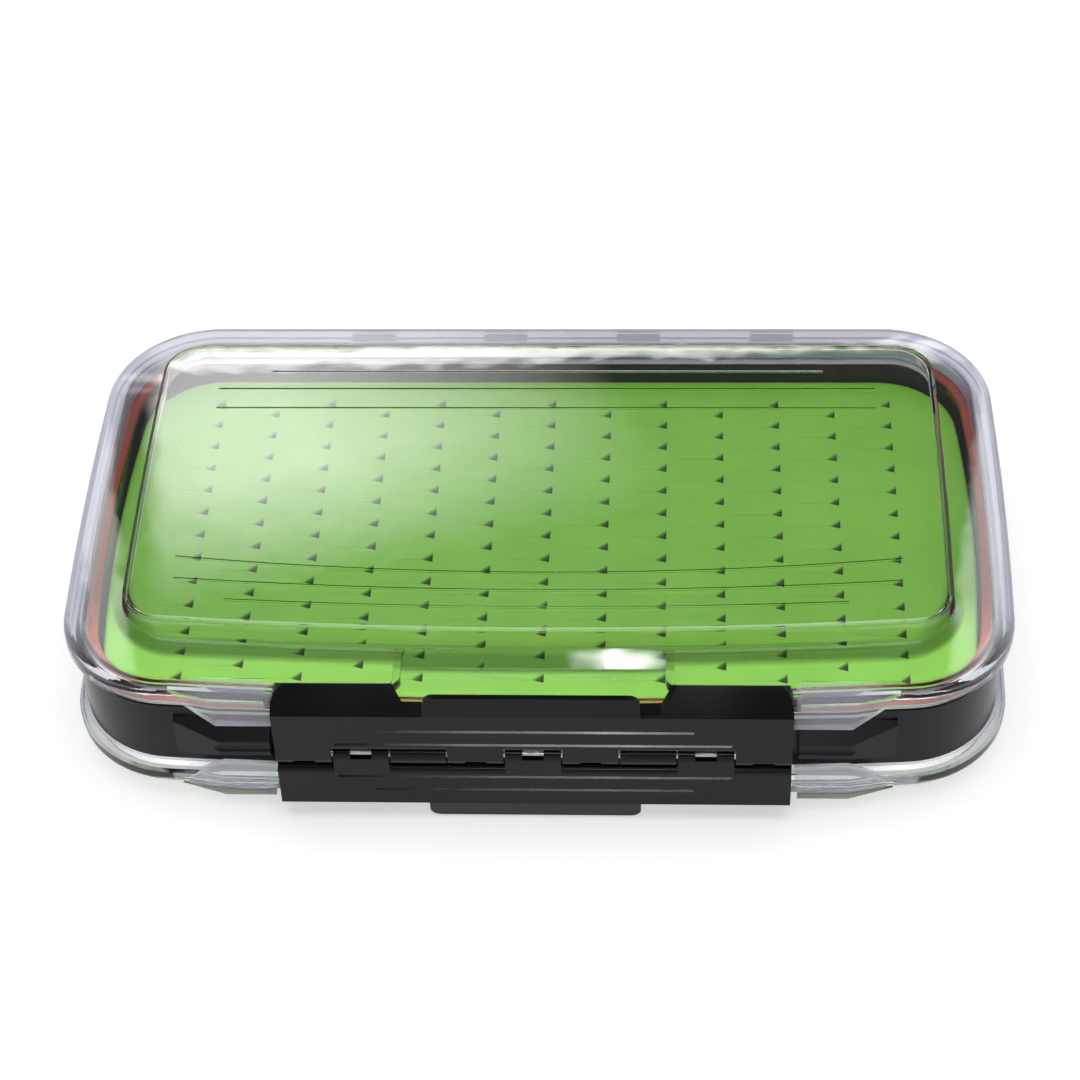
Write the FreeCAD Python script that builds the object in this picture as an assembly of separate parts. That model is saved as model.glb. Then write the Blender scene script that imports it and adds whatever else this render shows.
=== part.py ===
import FreeCAD, Part

import os

# A two-sided waterproof fly box. A black frame with a web across its middle holds a slit silicone
# pad on each face. A clear lid closes each face against a rubber gasket. Both lids turn on one pin
# at the back, and both latches on one pin at the front. Lengths are in millimetres, X runs along
# the box, Y points to the hinge, Z is up, and the origin is under the middle, on the resting plane.

V = FreeCAD.Vector

# Clearances
part_gap = 0.3
wall_gap = 0.4
pin_clearance = 0.06
overrun = 1.0
tolerance = 0.001

# Frame, seen from above
frame_half_width = 95.3
frame_back = 53.2
frame_front = 54.8
frame_corner_radius = 20.5
side_bow = 1.5
front_bow = 3.8
band_half_height = 8.4
band_bevel = 0.5

# Seat of the gasket in the top of the frame's wall, and the web across the frame
seat_outer_wall = 1.1
seat_width = 1.7
seat_inner_wall = 0.6
seat_depth = 3.0
inner_wall_drop = 1.0
web_thickness = 1.2

# Gasket
gasket_height = 3.2
gasket_bevel = 0.4

# Silicone pads, with rows of slits that end in a triangular notch
pad_thickness = 2.3
pad_side_gap = 0.3
pad_bevel = 0.5
notch_depth = 1.1
notch_length = 2.3
notch_width = 2.4
slit_column_pitch = 12.4
slit_row_pitch = 6.88
slit_columns = 13
slit_rows = 13
first_column_margin = 18.8
first_row_margin = 7.3

# Lids
lid_side_overhang = 2.2
lid_front_overhang = 1.6
lid_corner_radius = 23.0
lip_height = 1.5
lip_recess = 1.5
bead_height = 4.0
bead_round = 1.7
bead_under_bevel = 0.6
ledge_thickness = 2.0
plateau_rise = 4.3
plateau_draft = 0.9
plateau_wall = 1.1
plateau_bevel = 0.8
dome_bevel = 0.4
bevel_turn_share = 0.3
seal_rib_width = 0.8

# Raised panel of a lid
panel_side_margin = 12.6
panel_back_margin = 10.8
panel_front_margin = 15.4
panel_corner_radius = 9.0
panel_side_bow = 0.6
panel_front_bow = 3.6

# Shallow lines moulded in the panel: place, half length and bow as shares of the panel's own sizes
groove_width = 0.6
groove_depth = 0.22
back_groove_shares = [(0.79, 0.71), (0.665, 0.84), (0.53, 0.84)]
front_groove_shares = [(0.845, 0.745, 0.5), (0.73, 0.875, 0.85), (0.61, 0.88, 1.2)]

# Finger scoop in front of the panel
scoop_half_width = 26.5
scoop_flare = 3.2
scoop_depth = 2.4
scoop_floor_wall = 1.7
scoop_back_slope = 3.4
scoop_corner_radius = 2.0

# Back hinge, where eleven knuckles share one pin
hinge_knuckle_radius = 3.0
hinge_pin_radius = 1.25
hinge_pitch = 9.95
top_lid_slots = [-4, -1, 2, 5]
bottom_lid_slots = [-5, -2, 1, 4]
frame_slots = [-3, 0, 3]
arm_taper_share = 0.45

# Latches, whose nine fingers share one pin at the front
latch_standoff = 2.6
latch_knuckle_radius = 2.2
latch_pin_radius = 1.0
latch_pitch = 11.52
upper_latch_slots = [-4, -1, 1, 4]
lower_latch_slots = [-3, 0, 3]
frame_finger_slots = [-2, 2]
latch_wall = 2.0
latch_edge_round = 1.5
crease_over_bar = 0.2
ear_reach = 4.8
ear_rise = 4.6
ear_inner_top = 29.0
ear_inner_foot = 25.6
ear_corner_radius = 3.6
dip_rise = 0.5
tab_half_width = 21.5
tab_wall = 1.2
tab_reach = 0.8
tab_rise = 4.6
tab_corner_radius = 2.2
window_width = 4.3
latch_line_depth = 0.4
latch_line_width = 0.7
latch_line_shares = [(0.37, 0.765), (0.67, 0.62)]

# Hook of a latch and the bar of the lid that it grips
bar_front_step = 0.6
bar_drop = 1.7
bar_height = 6.0
bar_lead = 0.7
hook_grip = 1.8
hook_end_margin = 2.0
recess_wall_gap = 1.4

# Guards at both ends of the latches
latch_end_gap = 1.3
guard_box_length = 10.4
guard_taper_length = 9.2
guard_height = 7.4
guard_root_depth = 6.2
guard_tip_height = 1.8
frame_guard_half_height = 5.5
frame_guard_front_half_height = 2.0
frame_guard_slope = 4.0

# Levels above the middle plane of the box
lid_foot = band_half_height + part_gap
bead_foot = lid_foot + lip_height
ledge_top = bead_foot + bead_height
panel_top = ledge_top + plateau_rise
ledge_underside = ledge_top - ledge_thickness
seat_floor = band_half_height - seat_depth
inner_wall_top = band_half_height - inner_wall_drop
gasket_top = seat_floor + gasket_height
web_top = web_thickness / 2
pad_top = web_top + pad_thickness
bar_foot = lid_foot - bar_drop
bar_top = bar_foot + bar_height
latch_crease_height = bar_top + crease_over_bar

# Axes and faces that both sides of a joint share
hinge_y = frame_back + wall_gap + hinge_knuckle_radius
latch_y = -(frame_front + latch_standoff)
latch_face_y = latch_y - latch_knuckle_radius
latch_back_y = latch_face_y + latch_wall
latch_half_width = latch_pitch * (len(upper_latch_slots + lower_latch_slots + frame_finger_slots)) / 2
recess_half_width = latch_half_width + latch_end_gap
bar_front_y = latch_y + bar_front_step
hook_tip_y = bar_front_y + hook_grip
recess_wall_y = hook_tip_y + recess_wall_gap


class Outline:
    """A plan outline with a straight back, bowed sides and front, and round corners."""

    def __init__(self, half_width, back, front, radius, side, bow):
        self.half_width = half_width
        self.back = back
        self.front = front
        self.radius = radius
        self.side = side
        self.bow = bow

    def inset(self, distance):
        return Outline(self.half_width - distance, self.back - distance, self.front - distance,
                       self.radius - distance, self.side, self.bow)

    def slab(self, low, high):
        corner_x = self.half_width - self.side
        front_y = self.bow - self.front
        middle_y = (self.back + front_y) / 2
        back_left = V(-corner_x, self.back, low)
        back_right = V(corner_x, self.back, low)
        front_right = V(corner_x, front_y, low)
        front_left = V(-corner_x, front_y, low)
        edges = [Part.LineSegment(back_left, back_right).toShape(),
                 Part.Arc(back_right, V(self.half_width, middle_y, low), front_right).toShape(),
                 Part.Arc(front_right, V(0, -self.front, low), front_left).toShape(),
                 Part.Arc(front_left, V(-self.half_width, middle_y, low), back_left).toShape()]
        block = Part.Face(Part.Wire(edges)).extrude(V(0, 0, high - low))
        return block.makeFillet(self.radius, upright_edges(block))

    def ring(self, outer_inset, inner_inset, low, high):
        core = self.inset(inner_inset).slab(low - overrun, high + overrun)
        return self.inset(outer_inset).slab(low, high).cut(core)

    def wire(self, level):
        slab = self.slab(level, level + overrun)
        return edge_faces(slab, level)[0].OuterWire

    def drafted(self, draft, bevel, low, high):
        """A solid whose foot is wider than its top by the draft on each side, with a bevelled top."""
        turn = bevel * bevel_turn_share
        wires = [self.inset(-draft).wire(low), self.wire(high - bevel), self.inset(turn).wire(high - turn),
                 self.inset(bevel).wire(high)]
        return Part.makeLoft(wires, True, True)


def upright_edges(shape):
    return [edge for edge in shape.Edges
            if edge.BoundBox.ZLength > edge.BoundBox.XLength + edge.BoundBox.YLength]


def edge_faces(shape, level):
    return [face for face in shape.Faces
            if abs(face.BoundBox.ZMin - level) < tolerance and abs(face.BoundBox.ZMax - level) < tolerance]


def level_edges(shape, level):
    return [edge for edge in shape.Edges
            if abs(edge.BoundBox.ZMin - level) < tolerance and abs(edge.BoundBox.ZMax - level) < tolerance]


def rounded(shape, level, radius):
    return shape.makeFillet(radius, level_edges(shape, level))


def bevelled(shape, level, size):
    return shape.makeChamfer(size, level_edges(shape, level))


def box(x, y, z):
    """A box from three pairs of limits, in any order."""
    low = V(min(x), min(y), min(z))
    return Part.makeBox(max(x) - min(x), max(y) - min(y), max(z) - min(z), low)


def section_along_x(points, start, end):
    """A solid with the given section in Y and Z, from one X to another."""
    corners = [V(start, y, z) for y, z in points]
    face = Part.Face(Part.makePolygon(corners + corners[:1]))
    return face.extrude(V(end - start, 0, 0))


def outline_along_y(points, start, end):
    """A solid with the given outline in X and Z, from one Y to another."""
    corners = [V(x, start, z) for x, z in points]
    face = Part.Face(Part.makePolygon(corners + corners[:1]))
    return face.extrude(V(0, end - start, 0))


def plan_along_z(points, low, high):
    """A solid with the given plan in X and Y, from one level to another."""
    corners = [V(x, y, low) for x, y in points]
    face = Part.Face(Part.makePolygon(corners + corners[:1]))
    return face.extrude(V(0, 0, high - low))


def rod(radius, start, end, y):
    return Part.makeCylinder(radius, end - start, V(start, y, 0), V(1, 0, 0))


def flipped(shape):
    """The same shape on the lower half of the box."""
    return shape.mirror(V(0, 0, 0), V(0, 0, 1))


def both_ends(shape):
    """The shape and its mirror image at the other end of the box."""
    return [shape, shape.mirror(V(0, 0, 0), V(1, 0, 0))]


frame_outline = Outline(frame_half_width, frame_back, frame_front, frame_corner_radius, side_bow, front_bow)
lid_outline = Outline(frame_half_width + lid_side_overhang, hinge_y - wall_gap, frame_front + lid_front_overhang,
                      lid_corner_radius, side_bow, front_bow)
panel_outline = Outline(lid_outline.half_width - panel_side_margin, lid_outline.back - panel_back_margin,
                        lid_outline.front - panel_front_margin, panel_corner_radius,
                        panel_side_bow, panel_front_bow)
well_inset = seat_outer_wall + seat_width + seat_inner_wall


def slot_limits(slot, pitch):
    """The two ends in X of the knuckle in a slot, with half a gap left at each end."""
    return slot * pitch - (pitch - part_gap) / 2, slot * pitch + (pitch - part_gap) / 2


def pin_bore(radius, y):
    return rod(radius + pin_clearance, -frame_half_width, frame_half_width, y)


# Frame


def frame_knuckle(slot):
    start, end = slot_limits(slot, hinge_pitch)
    arm = box((start, end), (frame_back - overrun, hinge_y), (-hinge_knuckle_radius, hinge_knuckle_radius))
    return arm.fuse(rod(hinge_knuckle_radius, start, end, hinge_y))


def frame_finger(slot):
    start, end = slot_limits(slot, latch_pitch)
    root_y = seat_outer_wall + seat_width - frame_front
    arm = box((start, end), (latch_y, root_y), (-latch_knuckle_radius, latch_knuckle_radius))
    return arm.fuse(rod(latch_knuckle_radius, start, end, latch_y))


def guard_plan(low, high):
    """The plan of a guard at one end of the latches, from one level to another."""
    start = recess_half_width
    shoulder = start + guard_box_length
    tip = shoulder + guard_taper_length
    root_y = bar_front_y + guard_root_depth
    tip_y = (bar_front_y + root_y) / 2
    return plan_along_z([(start, bar_front_y), (shoulder, bar_front_y), (tip, tip_y), (tip, root_y),
                         (start, root_y)], low, high)


def frame_guard():
    """The black wedge that stands between the clear guards of the two lids."""
    half = frame_guard_half_height
    front = frame_guard_front_half_height
    slope_y = bar_front_y + frame_guard_slope
    root_y = bar_front_y + guard_root_depth
    section = section_along_x([(bar_front_y, -front), (bar_front_y, front), (slope_y, half), (root_y, half),
                               (root_y, -half), (slope_y, -half)],
                              recess_half_width, recess_half_width + guard_box_length + guard_taper_length)
    return guard_plan(-half, half).common(section)


def gasket_seat():
    """The groove for a gasket, and the room over its lower inner wall."""
    high = band_half_height + overrun
    seat = frame_outline.ring(seat_outer_wall, seat_outer_wall + seat_width, seat_floor, high)
    return seat.fuse(frame_outline.ring(seat_outer_wall, well_inset + overrun, inner_wall_top, high))


def make_frame():
    band = frame_outline.slab(-band_half_height, band_half_height)
    band = bevelled(bevelled(band, band_half_height, band_bevel), -band_half_height, band_bevel)
    body = band.fuse(both_ends(frame_guard()))
    well = frame_outline.inset(well_inset).slab(web_top, band_half_height + overrun)
    body = body.cut([well, flipped(well), gasket_seat(), flipped(gasket_seat())])
    knuckles = [frame_knuckle(slot) for slot in frame_slots]
    fingers = [frame_finger(slot) for slot in frame_finger_slots]
    body = body.fuse(knuckles + fingers)
    body = body.cut([pin_bore(hinge_pin_radius, hinge_y), pin_bore(latch_pin_radius, latch_y)])
    return body.removeSplitter()


# Gaskets and pads


def make_gasket():
    side_gap = 2 * pin_clearance
    ring = frame_outline.ring(seat_outer_wall + side_gap, seat_outer_wall + seat_width - side_gap, seat_floor,
                              gasket_top)
    return bevelled(ring, gasket_top, gasket_bevel)


def notch(x, y):
    """The pocket at the right end of a slit: deep at its upright right edge, sharp on the left."""
    rim = [V(x - notch_length, y - notch_width / 4, pad_top), V(x, y - notch_width / 2, pad_top),
           V(x, y + notch_width / 2, pad_top)]
    root = V(x, y - notch_width / 4, pad_top - notch_depth)
    sides = [(rim[0], rim[1], rim[2]), (rim[0], rim[1], root), (rim[1], rim[2], root), (rim[2], rim[0], root)]
    faces = [Part.Face(Part.makePolygon([a, b, c, a])) for a, b, c in sides]
    return Part.makeSolid(Part.makeShell(faces))


def slit_places():
    """The right end of every slit, in columns that are staggered by half a row."""
    places = []
    for column in range(slit_columns):
        x = first_column_margin - pad_outline.half_width + column * slit_column_pitch
        staggered = column % 2
        for row in range(slit_rows - staggered):
            y = pad_outline.back - first_row_margin - (row + staggered / 2) * slit_row_pitch
            places.append((x, y))
    return places


pad_outline = frame_outline.inset(well_inset + pad_side_gap)


def make_pad():
    pad = bevelled(pad_outline.slab(web_top, pad_top), pad_top, pad_bevel)
    return pad.cut(Part.makeCompound([notch(x, y) for x, y in slit_places()]))


# Lids


def lid_shell():
    lip = lid_outline.inset(lip_recess).slab(lid_foot, ledge_underside)
    bead = rounded(lid_outline.slab(bead_foot, ledge_top), ledge_top, bead_round)
    bead = bevelled(bead, bead_foot, bead_under_bevel)
    plateau = panel_outline.drafted(plateau_draft, plateau_bevel, ledge_underside, panel_top)
    return bead.fuse([lip, plateau])


def lid_hollow():
    rim = frame_outline.inset(seat_outer_wall).slab(lid_foot - overrun, ledge_underside)
    dome = panel_outline.inset(plateau_wall).drafted(plateau_draft, dome_bevel,
                                                     ledge_underside - overrun, panel_top - plateau_wall)
    return rim.fuse(dome)


def seal_rib():
    """The rib under the ledge that presses on the middle of the gasket."""
    middle = seat_outer_wall + seat_width / 2
    half = seal_rib_width / 2
    return frame_outline.ring(middle - half, middle + half, gasket_top + part_gap, ledge_underside + overrun / 2)


def lid_guard():
    """The clear faceted guard at one end of the latch."""
    start = recess_half_width
    shoulder = start + guard_box_length
    tip = shoulder + guard_taper_length
    top = bar_foot + guard_height
    elevation = outline_along_y([(start, bar_foot), (shoulder, bar_foot), (tip, top - guard_tip_height),
                                 (tip, top), (start, top)], bar_front_y, bar_front_y + guard_root_depth)
    return guard_plan(bar_foot, top).common(elevation)


def latch_bar():
    """The bar under the latch, with a bevel that leads the hook over it."""
    root_y = bar_front_y + guard_root_depth
    points = [(bar_front_y, bar_foot), (bar_front_y, bar_top - bar_lead), (bar_front_y + bar_lead, bar_top),
              (root_y, bar_top), (root_y, bar_foot)]
    return section_along_x(points, -recess_half_width, recess_half_width)


def frame_room():
    """The room that the frame's wall takes between the guards and the bars of the lids."""
    return frame_outline.inset(-wall_gap).slab(0, lid_foot)


def latch_recess():
    """The room over the bar, where the latch closes over the lid's front edge."""
    return box((-recess_half_width, recess_half_width), (latch_face_y - overrun, recess_wall_y),
               (bar_top, panel_top + overrun))


def scoop_tool(grow):
    """The finger scoop, or with a wall's thickness to grow by, the body that carries it."""
    back_y = -(panel_outline.front + plateau_draft) + grow
    floor_y = back_y - scoop_back_slope
    floor = ledge_top - scoop_depth - grow
    front_y = latch_face_y - overrun
    section = section_along_x([(back_y, ledge_top + overrun), (back_y, ledge_top - grow), (floor_y, floor),
                               (front_y, floor), (front_y, ledge_top + overrun)],
                              -latch_half_width, latch_half_width)
    side = scoop_half_width + grow
    flare_y = recess_wall_y + scoop_flare
    plan = plan_along_z([(-side, back_y), (side, back_y), (side, flare_y), (side + scoop_flare, recess_wall_y),
                         (side + scoop_flare, front_y), (-side - scoop_flare, front_y),
                         (-side - scoop_flare, recess_wall_y), (-side, flare_y)],
                        floor, ledge_top + overrun)
    plan = plan.makeFillet(scoop_corner_radius, upright_edges(plan))
    return plan.common(section)


def scoop_body():
    room = frame_outline.inset(wall_gap).slab(lid_foot, ledge_underside + overrun / 2)
    return scoop_tool(scoop_floor_wall).common(room)


def bowed_groove(half_length, y, bow):
    """A shallow line in the panel, bowed towards the front."""
    low = panel_top - groove_depth
    edge_points = []
    for side in (-groove_width / 2, groove_width / 2):
        edge_points.append([V(-half_length, y + side, low), V(0, y + side - bow, low),
                            V(half_length, y + side, low)])
    front, back = edge_points
    wire = Part.Wire([Part.Arc(*front).toShape(), Part.LineSegment(front[2], back[2]).toShape(),
                      Part.Arc(*reversed(back)).toShape(), Part.LineSegment(back[0], front[0]).toShape()])
    return Part.Face(wire).extrude(V(0, 0, groove_depth + overrun))


def panel_grooves():
    tools = []
    half_width = panel_outline.half_width
    for place_share, length_share in back_groove_shares:
        half_length = length_share * half_width
        tools.append(box((-half_length, half_length),
                         (place_share * panel_outline.back, place_share * panel_outline.back + groove_width),
                         (panel_top - groove_depth, panel_top + overrun)))
    for place_share, length_share, bow_share in front_groove_shares:
        bow = bow_share * panel_front_bow
        tools.append(bowed_groove(length_share * half_width, bow - place_share * panel_outline.front, bow))
    return tools


def lid_knuckle(slot):
    """A hinge arm that stays behind the lid's back edge only as far as both open lids allow."""
    start, end = slot_limits(slot, hinge_pitch)
    radius = hinge_knuckle_radius
    points = [(-radius, 0), (radius, 0), (radius * arm_taper_share, lid_foot), (-wall_gap, bead_foot),
              (-wall_gap, bead_foot + bead_round), (-radius, bead_foot + bead_round)]
    arm = section_along_x([(hinge_y + y, z) for y, z in points], start, end)
    return arm.fuse(rod(radius, start, end, hinge_y))


def make_lid(slots):
    body = lid_shell().fuse([latch_bar()] + both_ends(lid_guard()))
    body = body.cut([frame_room(), lid_hollow()]).fuse([seal_rib(), scoop_body()])
    body = body.cut([latch_recess(), scoop_tool(0)] + panel_grooves())
    body = body.fuse([lid_knuckle(slot) for slot in slots])
    return body.cut(pin_bore(hinge_pin_radius, hinge_y)).removeSplitter()


# Latches


def latch_finger(slot):
    start, end = slot_limits(slot, latch_pitch)
    radius = latch_knuckle_radius
    top = radius + part_gap + latch_edge_round + overrun
    web = box((start, end), (latch_face_y, latch_back_y), (0, top))
    finger = web.fuse(rod(radius, start, end, latch_y))
    middle = slot * latch_pitch
    window = box((middle - window_width / 2, middle + window_width / 2), (latch_face_y - overrun, latch_y),
                 (-radius - overrun, -part_gap))
    return finger.cut(window)


def latch_front_outline():
    """The latch seen from the front above its fingers: two ears with a low middle between them."""
    low = latch_knuckle_radius + part_gap
    dip = latch_crease_height + dip_rise
    top = latch_crease_height + ear_rise
    half = latch_half_width - part_gap / 2
    right = [(ear_inner_foot, dip), (ear_inner_top, top), (half, top), (half, low)]
    left = [(-x, z) for x, z in reversed(right)]
    outline = outline_along_y(left + right, latch_face_y - overrun, latch_y + 2 * ear_reach)
    corners = [edge for edge in outline.Edges if edge.BoundBox.YLength > ear_reach
               and edge.BoundBox.ZMin > top - tolerance and edge.BoundBox.XMax ** 2 > (half - tolerance) ** 2]
    return outline.makeFillet(ear_corner_radius, corners)


def latch_plate():
    """The upright plate and its slanted top, which folds back over the lid."""
    low = latch_knuckle_radius + part_gap
    crease = latch_crease_height
    length = (ear_reach ** 2 + ear_rise ** 2) ** 0.5
    inward_y = latch_wall * ear_rise / length
    inward_z = -latch_wall * ear_reach / length
    slope = ear_rise / ear_reach
    tip = (latch_face_y + ear_reach, crease + ear_rise)
    inner_tip = (tip[0] + inward_y, tip[1] + inward_z)
    inner_crease = inner_tip[1] - (inner_tip[0] - latch_back_y) * slope
    points = [(latch_face_y, low), (latch_face_y, crease), tip, inner_tip, (latch_back_y, inner_crease),
              (latch_back_y, low)]
    half = latch_half_width - part_gap / 2
    plate = section_along_x(points, -half, half)
    front_edge = [edge for edge in level_edges(plate, low) if edge.BoundBox.YMax < latch_face_y + tolerance]
    return plate.makeFillet(latch_edge_round, front_edge)


def latch_tab():
    """The middle tab that a finger pulls, steeper than the ears."""
    root = latch_crease_height - latch_wall
    top = latch_crease_height + tab_rise
    points = [(latch_face_y, root), (latch_face_y, latch_crease_height), (latch_face_y + tab_reach, top),
              (latch_face_y + tab_reach + tab_wall, top), (latch_back_y, latch_crease_height),
              (latch_back_y, root)]
    tab = section_along_x(points, -tab_half_width, tab_half_width)
    corners = [edge for edge in tab.Edges if edge.BoundBox.ZMin > top - tolerance
               and edge.BoundBox.XLength < tolerance]
    return tab.makeFillet(tab_corner_radius, corners)


def latch_hooks():
    """Under each ear, the rib that grips the bar of the lid."""
    low = bar_top + part_gap
    root_y = latch_back_y - latch_wall / 8
    slope = ear_rise / ear_reach
    rise = (hook_tip_y - root_y) * slope
    points = [(root_y, low), (hook_tip_y, low), (hook_tip_y, low + rise), (root_y, low + rise / 4)]
    hook = section_along_x(points, ear_inner_top, latch_half_width - hook_end_margin)
    return both_ends(hook)


def latch_lines():
    """Shallow lines across the front of the plate."""
    tools = []
    for height_share, length_share in latch_line_shares:
        z = height_share * latch_crease_height
        half_length = length_share * latch_half_width
        points = [(latch_face_y - overrun, z - latch_line_width), (latch_face_y, z - latch_line_width / 2),
                  (latch_face_y + latch_line_depth, z), (latch_face_y, z + latch_line_width / 2),
                  (latch_face_y - overrun, z + latch_line_width)]
        tools.append(section_along_x(points, -half_length, half_length))
    return tools


def make_latch(slots):
    body = latch_plate().common(latch_front_outline())
    body = body.fuse([latch_tab()] + latch_hooks() + [latch_finger(slot) for slot in slots])
    return body.cut(latch_lines() + [pin_bore(latch_pin_radius, latch_y)]).removeSplitter()


# Pins


def make_hinge_pin():
    ends = frame_slots + top_lid_slots + bottom_lid_slots
    start = slot_limits(min(ends), hinge_pitch)[0]
    end = slot_limits(max(ends), hinge_pitch)[1]
    return rod(hinge_pin_radius, start, end, hinge_y)


def make_latch_pin():
    half = latch_half_width - part_gap / 2
    return rod(latch_pin_radius, -half, half, latch_y)


def parts():
    return {"frame": make_frame(),
            "upper_gasket": make_gasket(),
            "lower_gasket": flipped(make_gasket()),
            "upper_pad": make_pad(),
            "lower_pad": flipped(make_pad()),
            "top_lid": make_lid(top_lid_slots),
            "bottom_lid": flipped(make_lid(bottom_lid_slots)),
            "upper_latch": make_latch(upper_latch_slots),
            "lower_latch": flipped(make_latch(lower_latch_slots)),
            "hinge_pin": make_hinge_pin(),
            "latch_pin": make_latch_pin()}


def main():
    os.makedirs("parts", exist_ok=True)
    for name, shape in parts().items():
        shape.translate(V(0, 0, panel_top))
        shape.exportStep("parts/" + name + ".step")
        print(name, len(shape.Solids), shape.isValid(), round(shape.Volume), shape.BoundBox)


main()
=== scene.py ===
import math

import bmesh
import bpy
from mathutils import Matrix, Vector


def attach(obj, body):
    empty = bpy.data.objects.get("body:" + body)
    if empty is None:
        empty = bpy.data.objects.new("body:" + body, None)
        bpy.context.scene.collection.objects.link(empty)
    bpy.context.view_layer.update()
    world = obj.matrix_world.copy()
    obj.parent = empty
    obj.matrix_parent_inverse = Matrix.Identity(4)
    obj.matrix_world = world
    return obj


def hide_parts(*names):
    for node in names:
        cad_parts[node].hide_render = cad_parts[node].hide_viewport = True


# A two-sided fly box on a pale studio floor. The frame, lids, latches and pins are the CAD nodes
# with new materials. The slit pads and the gaskets are modelled here. The box's sizes are in
# millimetres and become metres when a mesh is made. The studio's are in metres.

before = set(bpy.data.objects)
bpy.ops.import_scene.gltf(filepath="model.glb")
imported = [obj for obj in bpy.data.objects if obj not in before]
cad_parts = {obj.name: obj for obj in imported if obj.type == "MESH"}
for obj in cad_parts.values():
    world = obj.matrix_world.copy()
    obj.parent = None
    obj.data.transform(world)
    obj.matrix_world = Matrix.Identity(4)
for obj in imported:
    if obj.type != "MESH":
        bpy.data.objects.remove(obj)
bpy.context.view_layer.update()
scene = bpy.context.scene

MM = 0.001
MIDDLE_PLANE = 18.5

# Frame outline: half width, back, front, corner radius, side bow, front bow
FRAME_OUTLINE = (95.3, 53.2, -54.8, 20.5, 1.5, 3.8)

# Steps along a side of an outline and round a corner, and the turn in radians that makes a corner
SIDE_STEPS = 20
CORNER_STEPS = 14
CORNER_TURN = 0.5

# Keeps the mitre short where a polygon that is moved outward has a sharp corner
MITRE_LIMIT = 0.4

# Pad: its distance in from the frame's outline, and heights over the middle plane
PAD_INSET = 3.7
PAD_FOOT = 0.6
PAD_TOP = 2.9
PAD_ROUND = 0.55
PAD_ROUND_STEPS = 5
FLAT_MARGIN = 0.1

# Slits: columns run from the left edge, rows from the back edge
COLUMN_PITCH = 12.4
ROW_PITCH = 6.88
COLUMNS = 13
ROWS = 13
FIRST_COLUMN = 18.8
FIRST_ROW = 7.3
NOTCH_LENGTH = 2.3
NOTCH_WIDTH = 2.8
SLIT_LENGTH = 9.0
SLIT_HALF_WIDTH = 0.012
SLIT_DEPTH = 2.1

# Floor of a notch: distances from its tip and its end, and its sides as shares of the width
FLOOR_FROM_TIP = 0.3
FLOOR_FROM_END = 0.1
FLOOR_FRONT = 0.42
FLOOR_BACK = 0.4

# Soft lip of a slit: rings at a distance out from its mouth, with their drop below the pad's top
LIP_WIDTH = 0.1
LIP_DROP = 0.018
LIP_RINGS = ((LIP_WIDTH + FLAT_MARGIN, 0), (LIP_WIDTH, 0), (LIP_WIDTH * 0.3, LIP_DROP * 0.4),
             (0, LIP_DROP * 1.8))

# Gasket section: insets from the frame's outline, and heights over the middle plane
GASKET_OUTER = 1.22
GASKET_INNER = 2.68
GASKET_FOOT = 5.4
GASKET_TOP = 8.6
FLANGE_INNER = 3.3
FLANGE_FOOT = 7.5
GASKET_SIDE_STEPS = 28
GROOVED_SIDE = ((GASKET_OUTER + 0.1, GASKET_FOOT), (GASKET_OUTER, GASKET_FOOT + 0.2),
                (GASKET_OUTER, GASKET_FOOT + 0.9), (GASKET_OUTER + 0.12, GASKET_FOOT + 1.2),
                (GASKET_OUTER + 0.12, GASKET_FOOT + 1.5), (GASKET_OUTER, GASKET_FOOT + 1.8))
CROWN = ((GASKET_OUTER, GASKET_TOP - 0.6), (GASKET_OUTER + 0.05, GASKET_TOP - 0.35),
         (GASKET_OUTER + 0.2, GASKET_TOP - 0.14), (GASKET_OUTER + 0.45, GASKET_TOP - 0.03),
         (GASKET_OUTER + 0.7, GASKET_TOP), (GASKET_INNER - 0.3, GASKET_TOP))
FLANGE = ((GASKET_INNER + 0.1, GASKET_TOP - 0.12), (FLANGE_INNER - 0.2, GASKET_TOP - 0.3),
          (FLANGE_INNER - 0.03, GASKET_TOP - 0.5), (FLANGE_INNER, GASKET_TOP - 0.75),
          (FLANGE_INNER - 0.05, FLANGE_FOOT + 0.1), (FLANGE_INNER - 0.15, FLANGE_FOOT))
INNER_SIDE = ((GASKET_INNER, FLANGE_FOOT), (GASKET_INNER, GASKET_FOOT + 0.2),
              (GASKET_INNER - 0.1, GASKET_FOOT))


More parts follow.
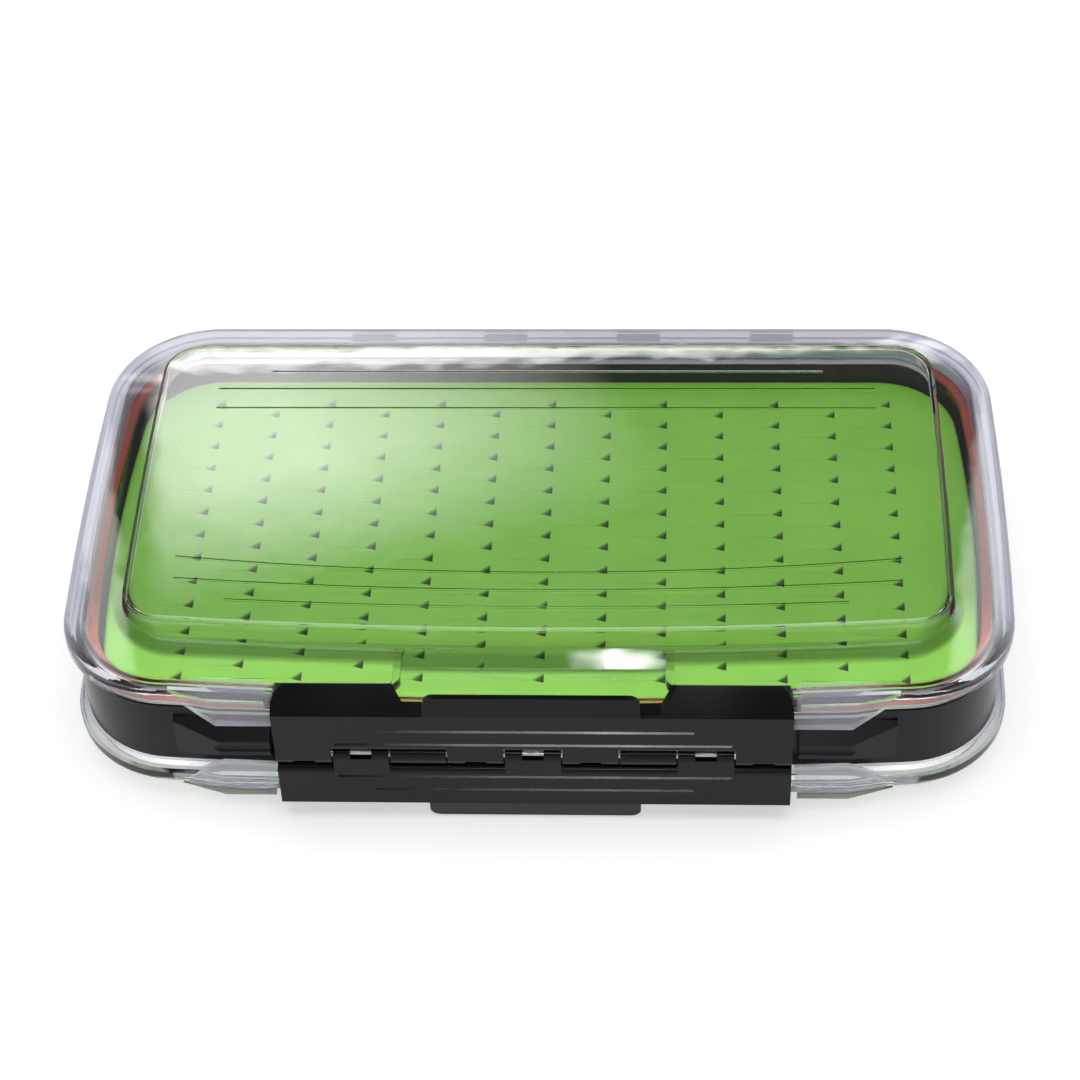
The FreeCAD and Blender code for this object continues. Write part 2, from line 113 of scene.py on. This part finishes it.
def outline(sizes, inset, steps=SIDE_STEPS):
    """Plan points of a bowed, round-cornered outline, anticlockwise from the back right."""
    half_width, back, front, radius, side, bow = sizes
    keep = radius - inset
    half_width, back, front = half_width - radius, back - radius, front + radius
    corner_x = half_width - side
    front_y = front + bow
    corners = [(corner_x, back), (-corner_x, back), (-corner_x, front_y), (corner_x, front_y)]
    bows = [0, side, bow, side]
    points = []
    for index, (start, bulge) in enumerate(zip(corners, bows)):
        end = corners[(index + 1) % len(corners)]
        along = (end[0] - start[0], end[1] - start[1])
        length = math.hypot(*along)
        outward = (along[1] / length, -along[0] / length)
        for step in range(steps + 1):
            share = step / steps
            rise = 4 * bulge * share * (1 - share)
            slope = 4 * bulge * (1 - 2 * share) / length
            normal = (outward[0] - slope * along[0] / length,
                      outward[1] - slope * along[1] / length)
            size = math.hypot(*normal)
            points.append((start[0] + along[0] * share + outward[0] * rise,
                           start[1] + along[1] * share + outward[1] * rise,
                           normal[0] / size, normal[1] / size))
    ring = []
    for index, (x, y, nx, ny) in enumerate(points):
        ring.append((x + nx * keep, y + ny * keep))
        following = points[(index + 1) % len(points)]
        turn = math.atan2(nx * following[3] - ny * following[2],
                          nx * following[2] + ny * following[3])
        if abs(turn) > CORNER_TURN:
            for step in range(1, CORNER_STEPS):
                angle = math.atan2(ny, nx) + turn * step / CORNER_STEPS
                ring.append((x + math.cos(angle) * keep, y + math.sin(angle) * keep))
    return ring


def grown(points, distance):
    """A polygon moved outward by a distance on every side."""
    moved = []
    for index, point in enumerate(points):
        before = points[index - 1]
        after = points[(index + 1) % len(points)]
        one = Vector((point[1] - before[1], before[0] - point[0])).normalized()
        two = Vector((after[1] - point[1], point[0] - after[0])).normalized()
        mitre = (one + two) / max(1 + one.dot(two), MITRE_LIMIT)
        moved.append((point[0] + mitre.x * distance, point[1] + mitre.y * distance))
    return moved


def loop_at(mesh, points, level):
    """Vertices over plan points, at a height over the middle plane."""
    return [mesh.verts.new((x * MM, y * MM, level * MM)) for x, y in points]


def neighbours(ring):
    """Each item of a closed ring with the next one."""
    return [(item, ring[(index + 1) % len(ring)]) for index, item in enumerate(ring)]


def bridge(mesh, one, two):
    """Faces between two rings with the same number of points."""
    for (one_start, one_end), (two_start, two_end) in zip(neighbours(one), neighbours(two)):
        mesh.faces.new((one_start, one_end, two_end, two_start))


def rim_edges(mesh, ring):
    return [mesh.edges.get(pair) for pair in neighbours(ring)]


def placed(name, mesh):
    """An object in the scene from an edited mesh, which is used up."""
    data = bpy.data.meshes.new(name)
    mesh.to_mesh(data)
    mesh.free()
    piece = bpy.data.objects.new(name, data)
    scene.collection.objects.link(piece)
    return piece


def finished(mesh, name, below):
    """A smooth piece from a mesh made above the middle plane, mirrored if it lies below."""
    if below:
        bmesh.ops.scale(mesh, vec=(1, 1, -1), verts=mesh.verts)
    bmesh.ops.translate(mesh, vec=(0, 0, MIDDLE_PLANE * MM), verts=mesh.verts)
    bmesh.ops.recalc_face_normals(mesh, faces=mesh.faces)
    piece = placed(name, mesh)
    for polygon in piece.data.polygons:
        polygon.use_smooth = True
    return piece


def slit_places():
    """The right end of every slit, in columns that are staggered by half a row."""
    half_width, back = FRAME_OUTLINE[0] - PAD_INSET, FRAME_OUTLINE[1] - PAD_INSET
    places = []
    for column in range(COLUMNS):
        staggered = column % 2
        for row in range(ROWS - staggered):
            places.append((FIRST_COLUMN - half_width + column * COLUMN_PITCH,
                           back - FIRST_ROW - (row + staggered / 2) * ROW_PITCH))
    return places


def add_slit(mesh, x, y):
    """One slit with its notch: a soft lip, steep walls and a deep floor. Gives its rim's edges."""
    axis = y - NOTCH_WIDTH / 4
    tip = x - NOTCH_LENGTH
    end = tip - SLIT_LENGTH
    floor_tip = tip + FLOOR_FROM_TIP
    floor_end = x - FLOOR_FROM_END
    floor_half = SLIT_HALF_WIDTH / 2
    mouth = [(end, axis - SLIT_HALF_WIDTH), (tip, axis - SLIT_HALF_WIDTH),
             (x, y - NOTCH_WIDTH / 2), (x, y + NOTCH_WIDTH / 2),
             (tip, axis + SLIT_HALF_WIDTH), (end, axis + SLIT_HALF_WIDTH)]
    floor = [(end, axis - floor_half), (floor_tip, axis - floor_half),
             (floor_end, y - NOTCH_WIDTH * FLOOR_FRONT), (floor_end, y + NOTCH_WIDTH * FLOOR_BACK),
             (floor_tip, axis + floor_half), (end, axis + floor_half)]
    rings = [loop_at(mesh, grown(mouth, out), PAD_TOP - drop) for out, drop in LIP_RINGS]
    rings.append(loop_at(mesh, floor, PAD_TOP - SLIT_DEPTH))
    for upper, lower in zip(rings, rings[1:]):
        bridge(mesh, upper, lower)
    mesh.faces.new(rings[-1])
    return rim_edges(mesh, rings[0])


def make_pad(name, below):
    """A silicone pad with a soft rounded edge and rows of slits."""
    mesh = bmesh.new()
    last = loop_at(mesh, outline(FRAME_OUTLINE, PAD_INSET), PAD_FOOT)
    mesh.faces.new(last)
    for step in range(PAD_ROUND_STEPS + 1):
        angle = math.pi / 2 * step / PAD_ROUND_STEPS
        inset = PAD_INSET + PAD_ROUND * (1 - math.cos(angle))
        level = PAD_TOP - PAD_ROUND * (1 - math.sin(angle))
        ring = loop_at(mesh, outline(FRAME_OUTLINE, inset), level)
        bridge(mesh, last, ring)
        last = ring
    flat = loop_at(mesh, outline(FRAME_OUTLINE, PAD_INSET + PAD_ROUND + FLAT_MARGIN), PAD_TOP)
    bridge(mesh, last, flat)
    edges = rim_edges(mesh, flat)
    for x, y in slit_places():
        edges += add_slit(mesh, x, y)
    bmesh.ops.triangle_fill(mesh, edges=edges, use_beauty=True)
    return finished(mesh, name, below)


def make_gasket(name, below):
    """A rubber ring with a rounded crown, a grooved outer side and a flange over the inner wall."""
    mesh = bmesh.new()
    rings = [loop_at(mesh, outline(FRAME_OUTLINE, inset, GASKET_SIDE_STEPS), level)
             for inset, level in GROOVED_SIDE + CROWN + FLANGE + INNER_SIDE]
    for one, two in neighbours(rings):
        bridge(mesh, one, two)
    return finished(mesh, name, below)


# Materials. A pair of colours or numbers goes with the low and the high part of a noise texture.

NOISE_LOW = 0.3
NOISE_HIGH = 0.7
CLOUD_SCALE = 60
GRAIN_DEPTH = 0.0001

BLACK = ((0.002, 0.002, 0.0025), (0.0035, 0.0035, 0.0045))
BLACK_SPECULAR = 0.22
PLAIN_SPECULAR = 0.5
GASKET_RED = ((0.24, 0.032, 0.016), (0.33, 0.045, 0.02))
PAD_GREEN = ((0.182, 0.49, 0.028), (0.214, 0.54, 0.037))
STEEL = ((0.52, 0.52, 0.53), (0.68, 0.68, 0.69))
STEEL_ROUGHNESS = (0.2, 0.4)
STEEL_STRETCH = (40, 2600, 2600)

# Painted shade: the colour turns darker below the top face of a pad, in its slits and down its edge
SLIT_PAINTED_SHADE = (0.02, 0.075, 0.006)
SHADE_START = 0.1
SHADE_DEPTH = 0.9

# Light that spreads inside a pad: its weight, its reach by colour and its scale in metres
PAD_SPREAD = 0.15
PAD_SPREAD_RADIUS = (0.6, 1.0, 0.2)
PAD_SPREAD_SCALE = 0.0008

# Clear plastic of a lid, with the colours of its milky rim and of its dark band
CLEAR = ((0.95, 0.95, 0.965), (0.97, 0.97, 0.98))
CLEAR_ROUGHNESS = (0.0, 0.03)
CLEAR_IOR = 1.5
CLEAR_CLOUD_SCALE = 45
CLEAR_SHADOW = (0.95, 0.95, 0.97)
CLEAR_DEEP = (0.67, 0.68, 0.73)
CLEAR_DENSITY = 125
RIPPLE_SCALE = 120
RIPPLE_STRENGTH = 0.05
RIPPLE_DEPTH = 0.0004
MILK_COLOUR = (0.74, 0.76, 0.84)
BAND_PAINTED_SHADE = (0.52, 0.57, 0.5)

# Lid outline seen from above: half width, half depth, corner radius, side bow, front bow
LID_OUTLINE = (97.5, 56.3, 23.0, 1.5, 3.8)
LID_FRONT = -56.8
LID_DEPTH = 116.4

# Each pair below says where a part of the lid starts to show and where it shows in full, as
# distances in from the lid's outline (EDGE), from front to back (Y) or from its middle (ACROSS)
RIM_MILK = 0.45
RIM_EDGE = (4.6, 3.6)
RIM_ARMS_EDGE = (-2.0, -0.4)
RIM_Y = (-48, -24)
RIM_WIDER = 2.0
RIM_WIDER_Y = (36, 48)
GUARD_MILK = 0.18
GUARD_Y = (-50.5, -51.5)
GUARD_OUTER_ACROSS = (76, 64)
GUARD_INNER_ACROSS = (52, 53)

# Painted shade in a dark band at the foot of the raised panel's front wall, and painted light in
# the brighter strip in front of it
FRONT_Y = (-24, -38)
BAND_OUTER_EDGE = (9.8, 11.2)
BAND_INNER_EDGE = (15.4, 14.4)
STRIP_OUTER_EDGE = (2.6, 4.0)
STRIP_INNER_EDGE = (11.2, 9.8)
STRIP_PAINTED_LIGHT = (0.33, 0.33, 0.23)


def new_material(name):
    material = bpy.data.materials.new(name)
    material.use_nodes = True
    tree = material.node_tree
    return material, tree, tree.nodes["Principled BSDF"]


def noise(tree, scale, detail):
    """The level of a noise texture that stays with the object."""
    place = tree.nodes.new("ShaderNodeTexCoord")
    texture = tree.nodes.new("ShaderNodeTexNoise")
    texture.inputs["Scale"].default_value = scale
    texture.inputs["Detail"].default_value = detail
    tree.links.new(place.outputs["Object"], texture.inputs["Vector"])
    return texture.outputs["Fac"]


def ramp(tree, source, low, high):
    """A colour between two that follows a texture."""
    colours = tree.nodes.new("ShaderNodeValToRGB")
    stops = colours.color_ramp.elements
    for stop, position, colour in ((stops[0], NOISE_LOW, low), (stops[1], NOISE_HIGH, high)):
        stop.position = position
        stop.color = (*colour, 1)
    tree.links.new(source, colours.inputs["Fac"])
    return colours.outputs["Color"]


def mapped(tree, value, start, end, low=0, high=1, curve="LINEAR"):
    """A number that goes from low to high while a value goes from the start to the end."""
    node = tree.nodes.new("ShaderNodeMapRange")
    node.interpolation_type = curve
    for name, number in (("From Min", start), ("From Max", end), ("To Min", low), ("To Max", high)):
        node.inputs[name].default_value = number
    tree.links.new(value, node.inputs["Value"])
    return node.outputs["Result"]


def spread(tree, source, low, high):
    """A number between two that follows a texture."""
    return mapped(tree, source, NOISE_LOW, NOISE_HIGH, low, high)


def soft_step(tree, value, limits):
    """Zero at the first limit, one at the second, and smooth between."""
    return mapped(tree, value, *limits, curve="SMOOTHSTEP")


def maths(tree, operation, one, two=0):
    """The result of a Math node on two sockets or numbers."""
    node = tree.nodes.new("ShaderNodeMath")
    node.operation = operation
    for socket, value in zip(node.inputs, (one, two)):
        if isinstance(value, bpy.types.NodeSocket):
            tree.links.new(value, socket)
        else:
            socket.default_value = value
    return node.outputs[0]


def product(tree, first, *others):
    for other in others:
        first = maths(tree, "MULTIPLY", first, other)
    return first


def coordinates(tree, kind):
    """The X, Y and Z sockets of a kind of texture coordinate."""
    place = tree.nodes.new("ShaderNodeTexCoord")
    parts = tree.nodes.new("ShaderNodeSeparateXYZ")
    tree.links.new(place.outputs[kind], parts.inputs[0])
    return parts.outputs


def mixed_colour(tree, share, one, two):
    """A colour between two, each a socket or three numbers."""
    node = tree.nodes.new("ShaderNodeMix")
    node.data_type = "RGBA"
    tree.links.new(share, node.inputs[0])
    sockets = [socket for socket in node.inputs if socket.type == "RGBA"]
    for socket, value in zip(sockets, (one, two)):
        if isinstance(value, bpy.types.NodeSocket):
            tree.links.new(value, socket)
        else:
            socket.default_value = (*value, 1)
    return [socket for socket in node.outputs if socket.type == "RGBA"][0]


def relief(tree, surface, source, strength, distance):
    """A bump on a surface. Gives its normal, for other shaders."""
    bump = tree.nodes.new("ShaderNodeBump")
    bump.inputs["Strength"].default_value = strength
    bump.inputs["Distance"].default_value = distance
    tree.links.new(source, bump.inputs["Height"])
    tree.links.new(bump.outputs["Normal"], surface.inputs["Normal"])
    return bump.outputs["Normal"]


def moulded(name, colours, roughness, grain, strength, specular=PLAIN_SPECULAR):
    """A moulded plastic or rubber with slight changes of colour and gloss, and a grain."""
    material, tree, surface = new_material(name)
    cloud = noise(tree, CLOUD_SCALE, 3)
    tree.links.new(ramp(tree, cloud, *colours), surface.inputs["Base Color"])
    tree.links.new(spread(tree, cloud, *roughness), surface.inputs["Roughness"])
    relief(tree, surface, noise(tree, grain, 4), strength, GRAIN_DEPTH)
    surface.inputs["Specular IOR Level"].default_value = specular
    return material, tree, surface


def pad_rubber(name):
    """Silicone with a soft sheen and painted shade down in its slits, where little light reaches.
    """
    material, tree, surface = moulded(name, PAD_GREEN, (0.36, 0.48), 1300, 0.15)
    # Painted shade: the base colour darkens with depth below the pad's top
    height = maths(tree, "SUBTRACT", coordinates(tree, "Object")["Z"], MIDDLE_PLANE * MM)
    shown = mapped(tree, maths(tree, "ABSOLUTE", height), (PAD_TOP - SHADE_DEPTH) * MM,
                   (PAD_TOP - SHADE_START) * MM)
    lit = surface.inputs["Base Color"].links[0].from_socket
    tree.links.new(mixed_colour(tree, shown, SLIT_PAINTED_SHADE, lit), surface.inputs["Base Color"])
    surface.inputs["Subsurface Weight"].default_value = PAD_SPREAD
    surface.inputs["Subsurface Radius"].default_value = PAD_SPREAD_RADIUS
    surface.inputs["Subsurface Scale"].default_value = PAD_SPREAD_SCALE
    return material


def bow_at(tree, place, half, bow):
    """How far a bowed side has come in, at a place along it."""
    return product(tree, maths(tree, "POWER", maths(tree, "DIVIDE", place, half), 2), bow)


def past_middle(tree, place, bow, limit):
    """How far a place lies past the limit of the lid's middle part, on either side."""
    reach = maths(tree, "ADD", maths(tree, "ABSOLUTE", place), bow)
    return maths(tree, "MAXIMUM", maths(tree, "SUBTRACT", reach, limit), 0)


def lid_inset(tree, x, y):
    """How far a place lies in from the bowed, round-cornered outline of a lid."""
    half_width, half_depth, radius, side, front = LID_OUTLINE
    side_bow = bow_at(tree, y, half_depth, side)
    front_bow = product(tree, bow_at(tree, x, half_width, front), maths(tree, "LESS_THAN", y, 0))
    squares = [maths(tree, "POWER", reach, 2)
               for reach in (past_middle(tree, x, side_bow, half_width - radius),
                             past_middle(tree, y, front_bow, half_depth - radius))]
    return maths(tree, "SUBTRACT", radius, maths(tree, "SQRT", maths(tree, "ADD", *squares)))


def lid_shares(tree):
    """How much a place is in the lid's milky rim and guards, painted-shade band and painted-light
    strip.
    """
    place = coordinates(tree, "Generated")
    x = product(tree, maths(tree, "SUBTRACT", place["X"], 0.5), 2 * LID_OUTLINE[0])
    y = maths(tree, "ADD", product(tree, place["Y"], LID_DEPTH), LID_FRONT)
    across = maths(tree, "ABSOLUTE", x)
    inset = lid_inset(tree, x, y)
    wider = product(tree, soft_step(tree, y, RIM_WIDER_Y), RIM_WIDER)
    rim = product(tree, soft_step(tree, maths(tree, "SUBTRACT", inset, wider), RIM_EDGE),
                  soft_step(tree, y, RIM_Y), soft_step(tree, inset, RIM_ARMS_EDGE))
    guard = product(tree, soft_step(tree, y, GUARD_Y), soft_step(tree, across, GUARD_OUTER_ACROSS),
                    soft_step(tree, across, GUARD_INNER_ACROSS))
    milk = maths(tree, "MAXIMUM", rim, product(tree, guard, GUARD_MILK / RIM_MILK))
    front = soft_step(tree, y, FRONT_Y)
    # Where painted shade darkens the lid
    band = product(tree, soft_step(tree, inset, BAND_OUTER_EDGE),
                   soft_step(tree, inset, BAND_INNER_EDGE), front)
    # Where painted light brightens the lid
    strip = product(tree, soft_step(tree, inset, STRIP_OUTER_EDGE),
                    soft_step(tree, inset, STRIP_INNER_EDGE), front)
    return milk, band, strip


def clear_plastic(name):
    """Polished polycarbonate that lets shadow rays through.

    It is a little milky in its thick rim and guards. The darker band is painted shade and the
    brighter
    strip is painted light: they stand in for the light that the real moulding bends away from one
    and gathers in the other.
    """
    material, tree, surface = new_material(name)
    cloud = noise(tree, CLEAR_CLOUD_SCALE, 2)
    milk, band, strip = lid_shares(tree)
    # Painted shade: the lid's colour turns darker in the band
    with_painted_shade = mixed_colour(tree, band, ramp(tree, cloud, *CLEAR), BAND_PAINTED_SHADE)
    tree.links.new(mixed_colour(tree, milk, with_painted_shade, MILK_COLOUR), surface.inputs["Base Color"])
    tree.links.new(spread(tree, cloud, *CLEAR_ROUGHNESS), surface.inputs["Roughness"])
    surface.inputs["IOR"].default_value = CLEAR_IOR
    tree.links.new(maths(tree, "SUBTRACT", 1.0, product(tree, milk, RIM_MILK)),
                   surface.inputs["Transmission Weight"])
    normal = relief(tree, surface, noise(tree, RIPPLE_SCALE, 1), RIPPLE_STRENGTH, RIPPLE_DEPTH)
    # Painted light: an added refraction that lets more light through the strip than the clear
    # plastic passes
    painted_light = tree.nodes.new("ShaderNodeBsdfRefraction")
    painted_light.inputs["IOR"].default_value = CLEAR_IOR
    painted_light.inputs["Roughness"].default_value = 0.0
    tree.links.new(mixed_colour(tree, strip, (0, 0, 0), STRIP_PAINTED_LIGHT), painted_light.inputs["Color"])
    tree.links.new(normal, painted_light.inputs["Normal"])
    with_painted_light = tree.nodes.new("ShaderNodeAddShader")
    tree.links.new(surface.outputs["BSDF"], with_painted_light.inputs[0])
    tree.links.new(painted_light.outputs["BSDF"], with_painted_light.inputs[1])
    through = tree.nodes.new("ShaderNodeBsdfTransparent")
    through.inputs["Color"].default_value = (*CLEAR_SHADOW, 1)
    rays = tree.nodes.new("ShaderNodeLightPath")
    either = tree.nodes.new("ShaderNodeMixShader")
    tree.links.new(rays.outputs["Is Shadow Ray"], either.inputs["Fac"])
    tree.links.new(with_painted_light.outputs["Shader"], either.inputs[1])
    tree.links.new(through.outputs["BSDF"], either.inputs[2])
    deep = tree.nodes.new("ShaderNodeVolumeAbsorption")
    deep.inputs["Color"].default_value = (*CLEAR_DEEP, 1)
    deep.inputs["Density"].default_value = CLEAR_DENSITY
    output = tree.nodes["Material Output"]
    tree.links.new(either.outputs["Shader"], output.inputs["Surface"])
    tree.links.new(deep.outputs["Volume"], output.inputs["Volume"])
    return material


def drawn_steel(name):
    """Bright drawn wire with fine marks along its length."""
    material, tree, surface = new_material(name)
    place = tree.nodes.new("ShaderNodeTexCoord")
    stretch = tree.nodes.new("ShaderNodeMapping")
    stretch.inputs["Scale"].default_value = STEEL_STRETCH
    texture = tree.nodes.new("ShaderNodeTexNoise")
    texture.inputs["Scale"].default_value = 1
    tree.links.new(place.outputs["Object"], stretch.inputs["Vector"])
    tree.links.new(stretch.outputs["Vector"], texture.inputs["Vector"])
    marks = texture.outputs["Fac"]
    tree.links.new(ramp(tree, marks, *STEEL), surface.inputs["Base Color"])
    tree.links.new(spread(tree, marks, *STEEL_ROUGHNESS), surface.inputs["Roughness"])
    surface.inputs["Metallic"].default_value = 1.0
    return material


def dress(node, material):
    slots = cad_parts[node].data.materials
    slots.clear()
    slots.append(material)


black_frame = moulded("black_frame", BLACK, (0.2, 0.3), 900, 0.1, BLACK_SPECULAR)[0]
black_latch = moulded("black_latch", BLACK, (0.08, 0.14), 1100, 0.05, BLACK_SPECULAR)[0]
gasket_rubber = moulded("gasket_rubber", GASKET_RED, (0.42, 0.56), 1500, 0.2)[0]
pad_silicone = pad_rubber("pad_silicone")
clear_lid = clear_plastic("clear_lid")
pin_steel = drawn_steel("pin_steel")

dress("frame", black_frame)
dress("upper_latch", black_latch)
dress("lower_latch", black_latch)
dress("top_lid", clear_lid)
dress("bottom_lid", clear_lid)
dress("hinge_pin", pin_steel)
dress("latch_pin", pin_steel)

for side, below in (("upper", False), ("lower", True)):
    pad = make_pad(side + "_slit_pad", below)
    pad.data.materials.append(pad_silicone)
    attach(pad, "body")
    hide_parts(side + "_pad")
    gasket = make_gasket(side + "_seal_ring", below)
    gasket.data.materials.append(gasket_rubber)
    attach(gasket, "body")
    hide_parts(side + "_gasket")

# Studio

FLOOR_HALF_SIZE = 6.0
FLOOR_SEGMENTS = 8
FLOOR_GREY = 0.7
FLOOR_ROUGHNESS = 0.9
FLOOR_LIFT = 0.53
WORLD_STRENGTH = 0.38

# The background that shows is white up to a height of a view's direction, and falls off above it
BACKDROP_HEIGHTS = (0.3, 0.62)
BACKDROP_LEVELS = (1.0, 0.25)

SENSOR_WIDTH = 36
CLIP_START = 0.01


def background_share(tree):
    """One for rays that should see the white background: camera, glossy and transmission rays."""
    rays = tree.nodes.new("ShaderNodeLightPath").outputs
    either = maths(tree, "MAXIMUM", rays["Is Camera Ray"], rays["Is Glossy Ray"])
    return maths(tree, "MAXIMUM", either, rays["Is Transmission Ray"])


def flat_sheet(name, segments, half_width, half_height):
    mesh = bmesh.new()
    bmesh.ops.create_grid(mesh, x_segments=segments, y_segments=segments, size=1.0)
    bmesh.ops.scale(mesh, vec=(half_width, half_height, 1), verts=mesh.verts)
    return placed(name, mesh)


def make_floor():
    """A pale matt floor that looks white and keeps the object's shadow."""
    floor = flat_sheet("studio_floor", FLOOR_SEGMENTS, FLOOR_HALF_SIZE, FLOOR_HALF_SIZE)
    material, tree, surface = new_material("studio_white")
    surface.inputs["Base Color"].default_value = (FLOOR_GREY, FLOOR_GREY, FLOOR_GREY, 1)
    surface.inputs["Roughness"].default_value = FLOOR_ROUGHNESS
    surface.inputs["Specular IOR Level"].default_value = 0.0
    surface.inputs["Emission Color"].default_value = (1, 1, 1, 1)
    tree.links.new(product(tree, background_share(tree), FLOOR_LIFT),
                   surface.inputs["Emission Strength"])
    floor.data.materials.append(material)


def make_world():
    """Plain white light, and a white background for the rays that should see one."""
    world = bpy.data.worlds.new("studio_world")
    world.use_nodes = True
    scene.world = world
    tree = world.node_tree
    soft = tree.nodes["Background"]
    soft.inputs["Color"].default_value = (1, 1, 1, 1)
    soft.inputs["Strength"].default_value = WORLD_STRENGTH
    shown = tree.nodes.new("ShaderNodeBackground")
    height = coordinates(tree, "Generated")["Z"]
    tree.links.new(mapped(tree, height, *BACKDROP_HEIGHTS, *BACKDROP_LEVELS),
                   shown.inputs["Strength"])
    mix = tree.nodes.new("ShaderNodeMixShader")
    tree.links.new(background_share(tree), mix.inputs["Fac"])
    tree.links.new(soft.outputs[0], mix.inputs[1])
    tree.links.new(shown.outputs[0], mix.inputs[2])
    tree.links.new(mix.outputs[0], tree.nodes["World Output"].inputs["Surface"])


def softbox(name, place, target, width, depth, power):
    light = bpy.data.lights.new(name, "AREA")
    light.shape = "RECTANGLE"
    light.size = width
    light.size_y = depth
    light.energy = power
    lamp = bpy.data.objects.new(name, light)
    lamp.location = place
    lamp.rotation_euler = (Vector(target) - Vector(place)).to_track_quat("-Z", "Y").to_euler()
    scene.collection.objects.link(lamp)


def sheared(tree, parts, slope):
    """A panel's X less a slope times its Y."""
    return maths(tree, "SUBTRACT", parts["X"], product(tree, parts["Y"], slope))


def glow_panel(name, place, half_size, strength, even=(0, 0), lean=0, cut=None):
    """A soft-edged reflector that only polished surfaces mirror.

    It is even over a share of its width and of its height, and its upper part leans to the right.
    A cut ends it on the left: it starts and is full at two places on its middle line, with a slope.
    """
    half_width, half_height = half_size
    panel = flat_sheet(name, 1, half_width + abs(lean) * half_height, half_height)
    panel.location = place
    panel.rotation_euler = (-Vector(place)).to_track_quat("Z", "Y").to_euler()
    material, tree, surface = new_material(name)
    tree.nodes.remove(surface)
    parts = coordinates(tree, "Object")
    offsets = (sheared(tree, parts, lean), parts["Y"])
    fades = [mapped(tree, maths(tree, "ABSOLUTE", offset), half, half * share)
             for offset, half, share in zip(offsets, half_size, even)]
    level = product(tree, *fades, strength)
    if cut:
        start, end, slope = cut
        level = product(tree, level, soft_step(tree, sheared(tree, parts, slope), (start, end)))
    glow = tree.nodes.new("ShaderNodeEmission")
    clear = tree.nodes.new("ShaderNodeBsdfTransparent")
    total = tree.nodes.new("ShaderNodeAddShader")
    tree.links.new(level, glow.inputs["Strength"])
    tree.links.new(glow.outputs[0], total.inputs[0])
    tree.links.new(clear.outputs[0], total.inputs[1])
    tree.links.new(total.outputs[0], tree.nodes["Material Output"].inputs["Surface"])
    panel.data.materials.append(material)
    panel.visible_camera = False
    panel.visible_diffuse = False
    panel.visible_transmission = False
    panel.visible_shadow = False


def make_camera(place, pitch, yaw, roll, focal_share):
    """A camera from its place, angles in degrees and focal length as a share of the width."""
    pitch, yaw, roll = (math.radians(angle) for angle in (pitch, yaw, roll))
    forward = Vector((-math.sin(yaw) * math.cos(pitch), math.cos(yaw) * math.cos(pitch),
                      -math.sin(pitch)))
    level = Vector((math.cos(yaw), math.sin(yaw), 0))
    upright = level.cross(forward)
    right = level * math.cos(roll) + upright * math.sin(roll)
    up = upright * math.cos(roll) - level * math.sin(roll)
    data = bpy.data.cameras.new("camera")
    data.sensor_width = SENSOR_WIDTH
    data.lens = focal_share * SENSOR_WIDTH
    data.clip_start = CLIP_START
    camera = bpy.data.objects.new("camera", data)
    turn = Matrix((right, up, -forward)).transposed()
    camera.matrix_world = Matrix.Translation(place) @ turn.to_4x4()
    scene.collection.objects.link(camera)
    scene.camera = camera


make_floor()
make_world()
softbox("overhead", place=(0.0, -0.05, 1.2), target=(0, 0, 0), width=1.0, depth=0.9, power=7.5)

# Reflectors: the pale veil on the left of the lid, its pale edges at both ends and at the back, the
# bright spot over its scoop, and the glints in the lines of the latches
glow_panel("left_glow", (-0.1915, 0.6236, 0.6077), half_size=(0.19, 0.082), strength=8.6,
           even=(0.15, 0.26), lean=0.5, cut=(-0.052, -0.038, -0.19))
glow_panel("left_strip", (-0.2575, 0.57, 0.6), half_size=(0.012, 0.1), strength=4.3,
           even=(0.6, 0.7), lean=-0.2)
glow_panel("right_strip", (0.182, 0.57, 0.6), half_size=(0.013, 0.1), strength=4.3,
           even=(0.6, 0.7), lean=0.11)
glow_panel("back_strip", (-0.0375, 0.6755, 0.6), half_size=(0.24, 0.006), strength=7.5,
           even=(0.8, 0.3))
glow_panel("spark", (0.001, -0.4676, 0.82), half_size=(0.027, 0.0065), strength=36.0)
glow_panel("front_strip", (-0.01, -0.725, 0.767), half_size=(0.13, 0.02), strength=50.0)

make_camera(place=(0.0280, -0.4307, 0.4584), pitch=45.37, yaw=3.8, roll=-2.52,
            focal_share=2871.9 / 1080)
scene.view_settings.view_transform = "Standard"
